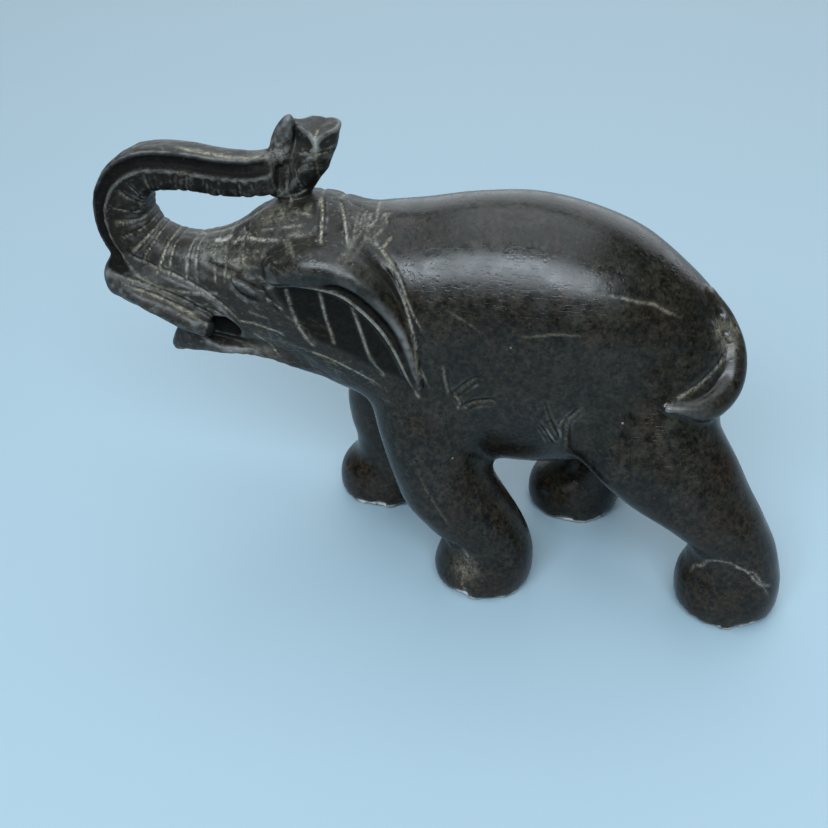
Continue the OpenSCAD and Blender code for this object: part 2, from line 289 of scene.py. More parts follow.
LEFT_HIND = [
    [-4, 71.5, 1.03, 11.4, 11.4], [0, 71.5, 1.03, 12.2, 12.1],
    [4, 71.5, 1.03, 13, 13], [9, 71.6, 1.03, 12.7, 12.9],
    [14, 72, 1.03, 11.4, 11.5], [18.8, 71.4, 1.02, 10.9, 10.7],
    [25.5, 66, 1, 11.8, 12.9], [32.5, 58.2, 0.96, 12.8, 16.8],
    [41, 51.5, 0.88, 13.6, 19], [50, 48.6, 0.74, 13, 16.4],
    [60, 48, 0.58, 11, 13], [68, 48, 0.45, 8, 9], [72, 48, 0.4, 0, 0],
]
RIGHT_HIND = [
    [-4, 30, 1.03, 11.4, 11.4], [0, 30, 1.03, 12.2, 12.1],
    [4, 30.2, 1.03, 13, 13], [9, 31.5, 1.03, 12.8, 13.2],
    [15, 36, 1.03, 11.4, 11.5], [20, 38, 1.02, 11, 11.2],
    [27, 37.6, 1, 11.8, 12.4], [34, 37, 0.96, 12.8, 13.8],
    [42, 38.5, 0.88, 13.6, 15.4], [51, 41, 0.74, 13, 16],
    [60, 43, 0.58, 11, 14], [68, 44, 0.45, 8, 9], [72, 44, 0.4, 0, 0],
]


def torso_form(x, y, z):
    height, wide, tall = hermite(BARREL, x, rounded=(2, 3))
    mid = BODY_MID + height * BODY_HALF
    side = oval(y, z - mid, wide * BODY_WIDE, tall * BODY_HALF, 2.15)
    return np.maximum(side, np.abs(x - BARREL_MID) - BARREL_REACH)


def skull_form(x, y, z):
    u, v = turned(x, y)
    height, wide, tall = hermite(SKULL, u, rounded=(2, 3))
    skull = np.maximum(oval(v, z - height, wide, tall, 2.3), SKULL_END - u)
    along, over = u - EYE[0], z - EYE[2]
    tilt_c, tilt_s = math.cos(EYE_TILT), math.sin(EYE_TILT)
    long_way = (along * tilt_c - over * tilt_s) / EYE_LONG
    short_way = (along * tilt_s + over * tilt_c) / EYE_SHORT
    for side in (-1, 1):
        out = (v - side * EYE[1]) / EYE_OUT
        eye = (np.sqrt(long_way**2 + short_way**2 + out**2) - 1) * EYE_MEAN
        skull = soft_min(skull, eye, 0.7)
        away = np.sqrt((u - MOUTH[0])**2 + (v - side * MOUTH[1])**2 + (z - MOUTH[2])**2)
        skull = soft_max(skull, MOUTH_HOLE - away, 1.0)
    return skull


def jaw_form(x, y, z):
    u, v = turned(x, y)
    height, wide, tall = hermite(JAW, u, rounded=(2, 3))
    ends = np.maximum(JAW_ENDS[0] - u, u - JAW_ENDS[1])
    return np.maximum(oval(v, z - height, wide, tall, 2.4), ends)


def along_sweep(x, z, table):
    """Follows a limb that bends in the x-z plane. Gives how far along it a
    point is, its height over the limb's middle line, and the table's columns."""
    path = smooth_path(table, 24)
    step = np.gradient(path[:, :2], axis=0)
    length = np.hypot(step[:, 0], step[:, 1])
    travel = np.concatenate([[0], np.cumsum((length[1:] + length[:-1]) / 2)])
    nearest, which = np.full(np.shape(x + z), 1e9), np.zeros(np.shape(x + z), int)
    for i, p in enumerate(path):
        d = (x - p[0]) ** 2 + (z - p[1]) ** 2
        closer = d < nearest
        nearest = np.where(closer, d, nearest)
        which = np.where(closer, i, which)
    heading = step[which] / length[which][..., None]
    dx, dz = x - path[which, 0], z - path[which, 1]
    beyond = dx * heading[..., 0] + dz * heading[..., 1]
    over = dx * heading[..., 1] - dz * heading[..., 0]
    return travel[which] + beyond, -over, path[which, 2:], travel[-1]


def cove_distance(across, over, wide, thick):
    """How far outside the hollow along the trunk's outer corner a point is."""
    return np.hypot(across - wide + 0.3, (over - thick + 2.2) * 0.9) - COVE


def trunk_rings(travel, width):
    """1 in the middle of each ring cut round the trunk, falling to 0 between them.
    The rings are a little uneven in their pitch, and `width` is a share of it."""
    swing = (travel / RING_PITCH + 0.18 * np.sin(travel * 0.9)) % 1
    return np.exp(-((swing - 0.5) / width) ** 2)


def sweep_form(table, power, ringed):
    """A bending limb with its two outer corners hollowed out and rings cut round
    its underside as far along as `ringed`."""
    def form(x, y, z):
        travel, over, rest, end = along_sweep(x, z, table)
        wide, thick = rest[..., 1] * TRUNK_WIDE, rest[..., 2]
        across = np.abs(y - rest[..., 0])
        side = oval(across, over, wide, thick, power)
        below = np.clip((0.3 * thick - over) / 1.5, 0, 1)
        below = below * smooth_step(ringed + RING_FADE, ringed, travel)
        side = side + RING_DEPTH * below * trunk_rings(travel, RING_WIDTH)
        cove = cove_distance(across, over, wide, thick)
        side = soft_max(side, -cove, 0.35)
        return soft_max(side, np.maximum(-travel, travel - end), 1.5)
    return form


def trunk_tip_form(x, y, z):
    """The trunk's end: cut off flat, with two flats meeting towards the near
    side, a pad under it on the forehead and a finger standing over its front."""
    body = sweep_form(TRUNK_TIP, 3.0, 6)(x, y, z)
    body = soft_min(body, rope(x, y, z, TIP_PAD), 2)
    along, near = x - TIP_CORNER[0], y - TIP_CORNER[1]
    flare = 0.5 * np.maximum(TIP_FLARE - z, 0)
    front_flat = -0.73 * along - 0.685 * near - flare
    rear_flat = 0.845 * along - 0.534 * near - flare
    top = z - TIP_TOP - 0.12 * (y + 2.4)
    notch = 0.25 * np.maximum(1.5 - np.abs(x + 32), 0)
    body = soft_max(soft_max(body, front_flat, 0.8), rear_flat, 0.8)
    body = soft_max(body, top + notch, 0.7)
    return soft_min(body, rope(x, y, z, TIP_FINGER), 0.8)


def tusk_form(side):
    def form(x, y, z):
        u, v = turned(x, y)
        return rope(u, v, z, [[p[0], side * p[1], p[2], p[3]] for p in TUSK])
    return form


def ear_height(u, z):
    """Outer face of an ear over the middle plane of a head that faces ahead."""
    known = np.array(EAR_REACH)

    def terms(a, b):
        a, b = (a + 28) / 20, (b - 78) / 20
        return np.stack([a * 0 + 1, a, b, a * a, a * b, b * b, a**3], -1)

    fit = np.linalg.lstsq(terms(known[:, 0], known[:, 1]), known[:, 2], rcond=None)[0]
    face = terms(u, z) @ fit
    inner = inside_outline(u, z, smooth_path(EAR_INNER, 4))
    face = face - EAR_SINK / (1 + np.exp(np.clip(inner - 0.3, -30, 30) * 2.6))
    groove, t = path_distance(u, z, smooth_path(EAR_GROOVE, 6))
    face = face + ridge(groove, *GROOVE_CUT) * np.sqrt(4.01 * t * (1.002 - t))
    flap, _ = path_distance(u, z, smooth_path(EAR_FLAP, 6))
    face = face + ridge(flap, *FLAP_SWELL)
    face = face - EAR_LEAN * np.maximum(z - EAR_SHOULDER, 0) ** 2
    fold, _ = path_distance(u, z, smooth_path(EAR_FOLD, 6))
    face = face + ridge(fold, *FOLD_RIDGE)
    for rib in EAR_RIBS:
        away, t = path_distance(u, z, smooth_path(rib, 6))
        face = face + ridge(away, *RIB_RIDGE) * (1 - 0.4 * t)
    return face


def ear_form(side, shift):
    def form(x, y, z):
        u, v = turned(x, y)
        u, z = u - shift[0], z - shift[1]
        # The ear's face doesn't change with v, so it is worked out once on u and z
        grid = np.arange(u.min() - 1, u.max() + 2, EAR_GRID)
        flat_u, flat_z = np.broadcast_arrays(grid[:, None], z[0])
        face = ear_height(flat_u, flat_z)
        outline = inside_outline(flat_u, flat_z, smooth_path(EAR, 5))
        place = (u[..., 0] - grid[0]) / EAR_GRID
        i = place.astype(int)
        t = (place - i)[..., None]
        stand = side * v - (1 - t) * face[i] - t * face[i + 1]
        edge = (1 - t) * outline[i] + t * outline[i + 1]
        return np.maximum(soft_max(edge, stand, 4), EAR_ROOT - side * v)
    return form


def leg_form(table, side):
    def form(x, y, z):
        at, share, wide, long = hermite(table, z, rounded=(3, 4))
        off = oval(y - side * share * FOOT_SPREAD, x - at, wide, long, 2.05)
        return soft_max(np.maximum(off, z - table[-1][0]), -z, 1.1)
    return form


def tail_form(x, y, z):
    return rope(x, y, z, TAIL)


# CAD node, form, corners of the space it needs, and how softly it joins the rest
PARTS = [
    ("torso", torso_form, (-45, -32, 20), (78, 32, 108), 1),
    ("left_hind_leg", leg_form(LEFT_HIND, -1), (22, -36, -3), (90, 14, 80), 6),
    ("right_hind_leg", leg_form(RIGHT_HIND, 1), (8, -14, -3), (66, 36, 80), 6),
    ("left_front_leg", leg_form(LEFT_FRONT, -1), (-30, -36, -3), (32, 14, 82), 5),
    ("right_front_leg", leg_form(RIGHT_FRONT, 1), (-46, -14, -3), (10, 36, 82), 5),
    ("head", skull_form, (-92, -36, 44), (-10, 26, 108), 5),
    ("lower_jaw", jaw_form, (-80, -32, 46), (-22, 14, 74), 1.6),
    ("trunk", sweep_form(TRUNK, 3.2, 130), (-92, -24, 70), (-36, 8, 118), 2.2),
    ("trunk_tip", trunk_tip_form, (-54, -14, 94), (-22, 8, 122), 1.2),
    ("left_tusk", tusk_form(-1), (-90, -36, 60), (-44, -4, 88), 0.7),
    ("right_tusk", tusk_form(1), (-92, -12, 60), (-44, 22, 88), 0.7),
    ("left_ear", ear_form(-1, (0, 0)), (-52, -36, 50), (0, -2, 100), 0.6),
    ("right_ear", ear_form(1, RIGHT_EAR_SHIFT), (-60, 0, 46), (-10, 36, 98), 0.6),
    ("tail", tail_form, (50, -30, 50), (76, 8, 86), 0.9),
]


# --- tool marks, wear and dirt ---

# Lines cut into the stone: which plane, half width, depth, how pale the dirt in it is,
# or how dark its shade if below 0, and the path. "head" paths are u, z on both cheeks
# of the turned head, "crown" are u, |v| over its top, "flank" are x, z on the left
# side, and "back" are x, y above.
CUTS = [
    ("head", 0.7, 0.75, 0.5, [[-82, 87.5], [-76.5, 85.5], [-68, 83], [-61.5, 80], [-57, 76.8],
        [-53.5, 73.5]]),
    ("head", 0.6, 0.6, 0.35, [[-85.5, 83], [-78, 81.5], [-72.5, 79.8], [-67, 77.5],
        [-62.5, 75], [-58, 72.8]]),
    ("head", 0.5, 0.4, 0.5, [[-80, 80.4], [-74, 78.6], [-68, 75.8], [-63, 73]]),
    ("head", 0.7, 0.7, -0.8, [[-61, 87.5], [-58, 86], [-54, 85.6], [-50.5, 84.4], [-46, 81.4]]),
    ("head", 0.7, 0.6, -0.8, [[-54.6, 85], [-53.4, 82], [-51, 80.2], [-47.4, 79.4]]),
    ("head", 1.0, 0.7, -0.6, [[-47.5, 84], [-45.5, 80.5], [-43.5, 77]]),
    ("head", 0.4, 0.25, 0.75, [[-54, 73.2], [-49, 72.8], [-42.5, 70.5]]),
    ("head", 0.4, 0.25, 0.75, [[-51, 70], [-47.5, 66.5], [-45, 61.5]]),
    ("head", 0.4, 0.3, 0.55, [[-46.6, 80.6], [-44.5, 79], [-42.4, 77.8]]),
    ("head", 0.35, 0.2, 0.8, [[-59, 90], [-56.5, 90.2], [-54, 91.2]]),
    ("head", 0.35, 0.2, 0.7, [[-54.5, 90], [-51, 92], [-47, 92.7], [-42, 93.5]]),
    ("head", 0.3, 0.2, 0.5, [[-62, 76], [-58, 74.5], [-55.5, 71.5]]),
    ("head", 0.35, 0.25, 0.6, [[-38.5, 66.2], [-33, 64.6], [-27, 61.5], [-20, 58.4]]),
    ("crown", 0.55, 0.5, 0.85, [[-32.6, 0], [-32.4, 7], [-32.7, 13], [-32.4, 17.5]]),
    ("crown", 0.5, 0.4, 0.7, [[-28.6, 0], [-27.6, 5.5], [-27, 10.5], [-26.4, 18]]),
    ("back", 0.35, 0.15, 0.5, [[-20, 6], [-19.6, 0], [-19, -6], [-20.5, -9.5]]),
    ("flank", 0.9, 0.85, 0.15, [[1.5, 58], [4, 60.5], [6.5, 63], [8.8, 64.2]]),
    ("flank", 0.9, 0.85, 0.15, [[3.5, 54.5], [6.5, 56.5], [9.5, 57.5], [12.8, 58]]),
    ("flank", 0.45, 0.4, 0.3, [[3, 54.6], [3.6, 57], [2, 58.6]]),
    ("flank", 0.4, 0.3, 0.25, [[-0.5, 67], [0, 63.5], [1, 58.5]]),
    ("flank", 0.8, 0.75, 0.12, [[22.8, 60.2], [24, 56], [25.2, 52], [27.4, 46.5]]),
    ("flank", 0.9, 0.85, 0.18, [[32.8, 58.4], [31, 56], [29.2, 53.2], [29, 48], [29, 43]]),
    ("flank", 0.4, 0.4, 0.3, [[29.2, 56], [27.4, 52.6]]),
    ("flank", 0.5, 0.6, 0.15, [[22.3, 52.4], [24, 49], [25.6, 45]]),
    ("flank", 0.8, 0.4, 0.45, [[51.5, 59.6], [55.5, 61.3], [59, 62.6], [62.2, 64.6], [64, 67],
        [64.8, 70]]),
    ("flank", 0.5, 0.25, 0.5, [[-21, 93.4], [-15.4, 90], [-11.6, 84.5], [-9.2, 79.5],
        [-7, 72], [-6, 66], [-3.5, 60]]),
    ("flank", 0.35, 0.2, 0.4, [[-18, 92.5], [-12, 87], [-8.4, 80], [-5, 74]]),
    ("flank", 0.3, 0.1, 0.12, [[-6.2, 40], [-4.4, 35], [-1.8, 30], [3.5, 21.5]]),
    ("flank", 0.9, 0.1, 0.35, [[4, 17], [6.5, 12.5], [5, 6.5], [7, 3]]),
    ("flank", 0.25, 0.1, 0.5, [[61.6, 12.2], [62.8, 15.2], [64.4, 16.8], [65.6, 19.6],
        [68, 20.8], [70.6, 20.6], [72.6, 19.4], [74.6, 18.4], [77, 15.4], [79.2, 13.2],
        [81.5, 9.2]]),
    ("flank", 0.25, 0.1, 0.35, [[74.4, 18.2], [76.6, 17.5], [78.8, 14.4], [82, 11.4]]),
    ("flank", 0.24, 0.03, 0.3, [[33.5, 85.5], [38.3, 84.7], [43.5, 83], [46.6, 82.2],
        [49.5, 80.3], [53.5, 78]]),
    ("flank", 0.3, 0.03, 0.12, [[0, 80.5], [3, 79], [6, 77.5], [8.5, 76]]),
    ("flank", 0.3, 0.03, 0.16, [[17, 75.6], [22.5, 76.5], [26.5, 77], [33, 76.6]]),
    ("back", 1.7, 0.1, 0.6, [[-66, -8.6], [-58, -8.2], [-50, -7.2], [-44, -6.2]]),
    ("back", 0.35, 0.3, 0.6, [[-31.9, -8.6], [-32.2, -6.4], [-32.5, -2.5]]),
    ("flank", 0.45, 0.55, 0.45, [[-36.5, 109.8], [-34, 110.6], [-31, 110.9], [-27.6, 110.3]]),
    ("flank", 0.45, 0.5, 0.4, [[-36, 108.8], [-33.6, 108.9], [-31.6, 108.1], [-29.4, 107.4]]),
    ("flank", 0.45, 0.4, 0.35, [[-37.6, 107], [-36.6, 104.6], [-36, 102.2]]),
    ("flank", 0.6, 0.1, 0.9, [[-41, 99.6], [-37.5, 100.4], [-35, 101.6]]),
    ("flank", 0.4, 0.4, 0.35, [[-40.4, 108], [-39.6, 105.2], [-39.4, 102]]),
]
TAIL_ROOT = (63.0, -7.0, 73.5)  # middle of the pits beside it
STROKE_DEPTH = {"flank": 0.12, "head": 0.1}  # of stray strokes of the chisel
FINEST_LINE = 0.27  # half width below which no line of dirt gets
# Patches of pale grit, [u or x, |v| or y, z, radius, strength]
HEAD_GRIT = [[-56, 7.5, 94.5, 3.2, 0.7], [-53.5, 12.5, 88.5, 3.2, 0.4],
             [-60, 7, 90, 3.6, 0.3], [-45, 6, 98.5, 5.0, 0.25],
             [-48, 12, 66, 5, 0.15]]
BODY_GRIT = [[62.5, -7.5, 73.0, 2.2, 0.4], [64.5, -8, 69.0, 2.3, 0.4],
             [66.0, -5, 72.5, 2.2, 0.3], [5.5, -28.5, 10.0, 3.4, 0.25],
             [-41.5, -6.5, 108.5, 3.0, 0.6], [-76, -12, 87, 4.5, 0.25]]

# --- marks at points ---

CORNERS = [(dx, dy, dz) for dx in (0, 1) for dy in (0, 1) for dz in (0, 1)]
HASH_PRIMES = (73856093, 19349663, 83492791)


def corner_weight(t, corner):
    """Share that a corner of a grid cell has at places `t` in the cell."""
    x, y, z = (t[:, k] if corner[k] else 1 - t[:, k] for k in range(3))
    return x * y * z


def random_waves(points, size, seed):
    """Smooth random value about -1 to 1, with lumps about `size` mm across."""
    table = np.random.default_rng(seed).uniform(-1, 1, 4096)
    place = points / size
    cell = np.floor(place).astype(np.int64)
    t = smooth_step(0, 1, place - cell)
    total = 0
    for corner in CORNERS:
        keys = (cell + corner) * HASH_PRIMES
        key = (keys[:, 0] ^ keys[:, 1] ^ keys[:, 2]) & 4095
        total = total + corner_weight(t, corner) * table[key]
    return total


class Marks:
    """What tools, wear and dirt did at a set of points on the stone."""

    def __init__(self, points):
        self.points = points
        self.x, self.y, self.z = points.T
        self.u, self.v = turned(self.x, self.y)
        self.cut = np.zeros(len(points))  # depth taken off, in mm
        self.dirt = np.zeros(len(points))  # pale dirt, 0 to 1
        self.chip = np.zeros(len(points))  # freshly broken stone, 0 to 1
        self.dressed = smooth_step(-13, -24, self.u) * smooth_step(46, 58, self.z)
        self.shade = np.zeros(len(points))  # painted shade in hollows and grooves, 0 to 1
        self.planes = {
            "head": (self.u, self.z, (self.u < -8) & (np.abs(self.v) > 3)),
            "crown": (self.u, np.abs(self.v), (self.z > 86) & (self.z < 100.3)),
            "flank": (self.x, self.z, self.y < -3),
            "back": (self.x, self.y, self.z > 88),
        }

    def lay(self, layer, near, amount):
        """Raises a measure to at least `amount` where `near` holds."""
        layer[near] = np.maximum(layer[near], amount)

    def scribe(self, plane, width, depth, dirt, path):
        a, b, where = self.planes[plane]
        path = smooth_path(path, 5)
        low, high = path.min(axis=0) - 3 * width, path.max(axis=0) + 3 * width
        near = where & in_box(a, b, low, high)
        away, t = path_distance(a[near], b[near], path)
        taper = np.clip(np.minimum(t, 1 - t) * 7, 0, 1)
        self.lay(self.cut, near, ridge(away, depth, width) * taper)
        # Where `dirt` is below 0 the line gets painted shade instead of pale dirt
        self.lay(self.dirt if dirt > 0 else self.shade, near,
                 ridge(away, abs(dirt), max(0.5 * width, FINEST_LINE)) * taper)

    def grit(self, a, b, c, patch):
        away = np.sqrt((a - patch[0])**2 + (b - patch[1])**2 + (c - patch[2])**2)
        self.dirt = np.maximum(self.dirt, ridge(away, 0.9 * patch[4], patch[3]))

    def stroke(self, rng, plane, spot, turns, lengths, width, bend, dirts):
        """One short stray stroke of the chisel. `bend` moves its middle, by chance
        where it is None."""
        turn, reach = rng.uniform(*turns), rng.uniform(*lengths)
        da, db = math.cos(turn) * reach, math.sin(turn) * reach
        a, b = spot
        bend = rng.uniform(-0.4, 0.4) * np.ones(2) if bend is None else bend
        middle = [a + bend[0], b + bend[1]]
        self.scribe(plane, width, STROKE_DEPTH[plane], rng.uniform(*dirts),
                    [[a - da, b - db], middle, [a + da, b + db]])

    def scratches(self):
        """Stray strokes on the neck, over the forehead and down the cheek."""
        rng = np.random.default_rng(11)
        for _ in range(28):
            spot = rng.uniform(-24, -15), rng.uniform(91, 98)
            self.stroke(rng, "flank", spot, (0.3, 2.6), (0.8, 2.2), 0.25, None, (0.1, 0.5))
        for _ in range(60):
            spot = rng.uniform(-60, -34), rng.uniform(84, 99)
            self.stroke(rng, "head", spot, (-0.5, 0.5), (0.8, 3), 0.24, (0, 0.2), (0.1, 0.4))
        for _ in range(40):
            spot = rng.uniform(-56, -30), rng.uniform(56, 76)
            self.stroke(rng, "head", spot, (-1.4, -0.2), (1, 4), 0.24, (0.2, 0), (0.1, 0.35))

    def ears(self):
        """Clean ears with pale worn crests on the fold and the ribs, and painted shade over the
        sunk middle, in the groove under the flap and along the top rim.
        """
        for side, shift in ((-1, (0, 0)), (1, RIGHT_EAR_SHIFT)):
            a, b = self.u - shift[0], self.z - shift[1]
            near = in_box(a, b, (-48, 54), (-8, 96)) & (side * self.v > 16)
            edge = inside_outline(a[near], b[near], smooth_path(EAR, 3))
            panel = smooth_step(0, -2, edge)
            self.dirt[near] *= 1 - 0.7 * panel
            self.cut[near] *= 1 - 0.7 * panel
            self.dressed[near] *= 1 - 0.8 * panel
            for path, dirt in [(EAR_FOLD, 0.4)] + [(rib, 0.5) for rib in EAR_RIBS]:
                path = smooth_path(path, 6)
                low, high = path.min(axis=0) - 2, path.max(axis=0) + 2
                close = in_box(a, b, low, high) & (side * self.v > 12) & (self.u < 2)
                away, _ = path_distance(a[close], b[close], path)
                self.lay(self.dirt, close, ridge(away, dirt, 0.4))
            inner = inside_outline(a[near], b[near], smooth_path(EAR_INNER, 3))
            groove, t = path_distance(a[near], b[near], smooth_path(EAR_GROOVE, 4))
            # Painted shade over the sunk middle, in the groove under the flap and, below, along
            # the top rim
            shade = np.maximum(0.75 * panel * smooth_step(0.3, -1.2, inner),
                               ridge(groove, 0.9, 1.4) * (1 - 0.4 * t))
            rim = ridge(edge - 0.5, 1.0, 0.6) * smooth_step(80, 86, b[near])
            self.lay(self.shade, near, np.maximum(shade * (1 - self.dirt[near]), 0.8 * rim))
            self.lay(self.cut, near, 0.7 * rim)

    def pits(self):
        """Small round pits beside the root of the tail."""
        rng = np.random.default_rng(7)
        for _ in range(34):
            spot = TAIL_ROOT + rng.normal(0, (1.6, 1.6, 3.2))
            size = rng.uniform(0.5, 1.15)
            away = np.linalg.norm(self.points - spot, axis=1)
            self.cut = np.maximum(self.cut, np.clip(size * 1.3 - away, 0, size) * 0.9)

    def trunk(self):
        """Dirt in the rings and along the lower edge, shade in the hollow and below."""
        near = (self.u < -50) & (self.z > 78) & (np.abs(self.v) < 12)
        near |= (self.x > -72) & (self.x < -28) & (self.z > 98)
        x, z = self.x[near], self.z[near]
        travel, over, rest, end = along_sweep(x, z, TRUNK)
        across = np.abs(self.y[near] - rest[:, 0])
        wide, thick = rest[:, 1] * TRUNK_WIDE, rest[:, 2]
        below = np.clip((0.1 * thick - over) / 1.5, 0, 1) * (travel < end + 6)
        ring = trunk_rings(travel, RING_DIRT_WIDTH) * below
        ring *= 0.4 + 0.5 * np.exp(-((travel - 20) / 14) ** 2)
        cove = cove_distance(across, over, wide, thick)
        lower_edge = np.exp(-((over - thick + 4.4) / 0.35) ** 2) * (across > wide - 1.6)
        self.lay(self.dirt, near, np.maximum(ring, lower_edge * 0.4))
        hollow = smooth_step(0.9, 0.1, cove) * (over > 0) * (travel < end + 3)
        side = smooth_step(2.5, 1.0, wide - across) * (over < thick - 3.4)
        side *= smooth_step(14, 24, travel) * (travel < end + 6)
        under_tip = (smooth_step(111, 108, z) * smooth_step(101, 102.5, z)
                     * smooth_step(-45, -43, x))
        shade = np.maximum(0.95 * hollow, 0.6 * np.maximum(side, under_tip))
        self.lay(self.shade, near, shade)

    def mouth(self):
        """Painted shade in the hollow at the corner of the mouth."""
        away = np.sqrt((self.u - MOUTH[0])**2 + (np.abs(self.v) - MOUTH[1])**2
                       + (self.z - MOUTH[2])**2)
        hole = smooth_step(MOUTH_HOLE + 0.7, MOUTH_HOLE + 0.1, away)
        self.shade = np.maximum(self.shade, hole)
        self.dirt *= 1 - self.shade * 0.8

    def soles(self):
        """Chips broken from the rims of the feet."""
        flakes = random_waves(self.points * (1, 1, 0.35), 4.2, 3)
        finer = random_waves(self.points, 1.5, 4)
        reach = 2.1 + 1.1 * random_waves(self.points * (1, 1, 0.2), 6.0, 9) + 0.4 * finer
        worn = smooth_step(reach, reach - 0.7, self.z)
        depth = np.clip(flakes + 0.3 * finer + 0.45, 0, 1) * worn
        rim = 0.7 * smooth_step(1.7, 1.0, self.z + 0.6 * finer)
        self.chip = np.maximum(smooth_step(0.1, 0.25, depth), rim)
        self.cut = np.maximum(self.cut, np.minimum(depth * 1.4, 0.8))

    def make(self):
        for row in CUTS:
            self.scribe(*row)
        self.scratches()
        self.ears()
        self.pits()
        self.trunk()
        for patch in HEAD_GRIT:
            self.grit(self.u, np.abs(self.v), self.z, patch)
        for patch in BODY_GRIT:
            self.grit(self.x, self.y, self.z, patch)
        self.soles()
        self.mouth()
        chisel = random_waves(self.points * (1, 1, 1.6), 2.6, 5)
        chisel += 0.6 * random_waves(self.points * (1.4, 1, 1), 1.2, 6)
        sway = random_waves(self.points, 17, 8)
        self.cut += 0.1 + 0.1 * sway + self.dressed * 0.13 * chisel
        return self


class Stone:
    """A block of stone on a grid: distance to the surface, and whose region it is."""

    def __init__(self, low, high, step):
        self.step = step
        self.axes = [np.arange(a, b, step, dtype=np.float32) for a, b in zip(low, high)]
        self.low = np.array([a[0] for a in self.axes])
        shape = [len(a) for a in self.axes]
        self.solid = np.full(shape, FAR, np.float32)
        self.near = np.full(shape, FAR, np.float32)
        self.region = np.zeros(shape, np.uint8)

    def window(self, low, high):
        cut = tuple(slice(*np.searchsorted(a, (lo, hi)))
                    for a, lo, hi in zip(self.axes, low, high))
        x, y, z = (a[c] for a, c in zip(self.axes, cut))
        return cut, x[:, None, None], y[None, :, None], z[None, None, :]

    def add(self, number, form, low, high, blend):
        cut, x, y, z = self.window(low, high)
        part = form(x, y, z).astype(np.float32)
        self.solid[cut] = soft_min(self.solid[cut], part, blend)
        closer = part < self.near[cut]
        self.region[cut][closer] = number
        self.near[cut][closer] = part[closer]

    def engrave(self):
        band = np.abs(self.solid) < BAND
        self.solid[band] += Marks(self.low + np.argwhere(band) * self.step).make().cut

    def settle(self):
        """Rescales the field so that it is a true distance near the surface."""
        gx, gy, gz = np.gradient(self.solid, self.step)
        size = np.sqrt(gx * gx + gy * gy + gz * gz)
        self.solid /= np.clip(size, 0.35, 3)

    def sample(self, field, points):
        """Trilinear value of a grid at points."""
        place = (points - self.low) / self.step
        i = np.clip(place.astype(int), 0, np.array(field.shape[:3]) - 2)
        return sum(corner_weight(place - i, corner) * field[tuple((i + corner).T)]
                   for corner in CORNERS)


def skin(stone):
    """One closed skin for every region, all on the same shared points.
    Returns the points and, for each region, its four-sided faces."""
    region = np.where(stone.solid < 0, stone.region, 0).astype(np.uint8)
    n = np.array(region.shape) - 1

    views = [region[dx:n[0] + dx, dy:n[1] + dy, dz:n[2] + dz] for dx, dy, dz in CORNERS]
    mixed = np.minimum.reduce(views) != np.maximum.reduce(views)
    cells = np.argwhere(mixed)
    number = np.full(mixed.shape, -1, np.int32)
    number[tuple(cells.T)] = np.arange(len(cells))

    value = {c: stone.solid[tuple((cells + c).T)] for c in CORNERS}
    label = {c: region[tuple((cells + c).T)] for c in CORNERS}
    outer, outer_count = np.zeros((len(cells), 3)), np.zeros(len(cells))
    inner, inner_count = np.zeros((len(cells), 3)), np.zeros(len(cells))
    for a in CORNERS:
        for axis in range(3):
            if a[axis]:
                continue
            b = tuple(1 if k == axis else a[k] for k in range(3))
            va, vb = value[a], value[b]
            cross = (va < 0) != (vb < 0)
            t = np.where(cross, va / np.where(cross, va - vb, 1), 0.5)
            spot = np.array(a) + t[:, None] * (np.array(b) - a)
            outer += spot * cross[:, None]
            outer_count += cross
            differ = label[a] != label[b]
            inner += spot * differ[:, None]
            inner_count += differ
    on_surface = outer_count > 0
    total = np.where(on_surface[:, None], outer, inner)
    count = np.where(on_surface, outer_count, inner_count)
    points = stone.low + (cells + total / count[:, None]) * stone.step

    faces = {}
    for axis in range(3):
        u, v = (axis + 1) % 3, (axis + 2) % 3
        here = [slice(1, m) for m in n]
        here[axis] = slice(0, n[axis])
        ahead = list(here)
        ahead[axis] = slice(1, n[axis] + 1)
        a, b = region[tuple(here)], region[tuple(ahead)]
        place = np.argwhere(a != b)
        base = place + [0 if k == axis else 1 for k in range(3)]
        quad = []
        for du, dv in ((-1, -1), (0, -1), (0, 0), (-1, 0)):
            spot = base.copy()
            spot[:, u] += du
            spot[:, v] += dv
            quad.append(number[tuple(spot.T)])
        quad = np.column_stack(quad)
        la, lb = a[tuple(place.T)], b[tuple(place.T)]
        for r in np.unique(np.concatenate([la, lb])):
            if r:
                faces.setdefault(int(r), []).append(quad[la == r])
                faces[int(r)].append(quad[lb == r][:, ::-1])
    return points, {r: np.vstack(f) for r, f in faces.items()}


# --- the stone's material ---

# Colours are linear
NEAR_BLACK = (0.0020, 0.0020, 0.0018, 1)
GREY_GREEN = (0.0100, 0.0095, 0.0075, 1)
DARK_GREEN = (0.0042, 0.0046, 0.0034, 1)
BROWN = (0.0090, 0.0075, 0.0053, 1)
OCHRE_BROWN = (0.0105, 0.0072, 0.0045, 1)
DRESSED_GREY = (0.015, 0.0145, 0.012, 1)
PALE_GRIT = (0.30, 0.29, 0.25, 1)
YELLOW_GRIT = (0.30, 0.27, 0.19, 1)
WORN_EDGE = (0.17, 0.175, 0.17, 1)
FRESH_CHIP = (0.42, 0.42, 0.39, 1)
RUSTY_GRAIN = (0.026, 0.018, 0.010, 1)
BLACK_GRAIN = (0.0025, 0.0025, 0.0025, 1)
# Colour of the painted shade in hollows and grooves
PAINTED_SHADE_BLACK = (0.003, 0.003, 0.003, 1)
# Ramp that the stone's colour is multiplied by, for its finest grain
FINE_GRAIN = [(0.38, (0.1, 0.1, 0.1, 1)), (0.62, (2.2, 2.05, 1.8, 1))]
POLISHED_ROUGH = (0.22, 0.36)  # roughness of the polish, lowest and highest
SHEEN = 0.25  # specular level of the polished stone


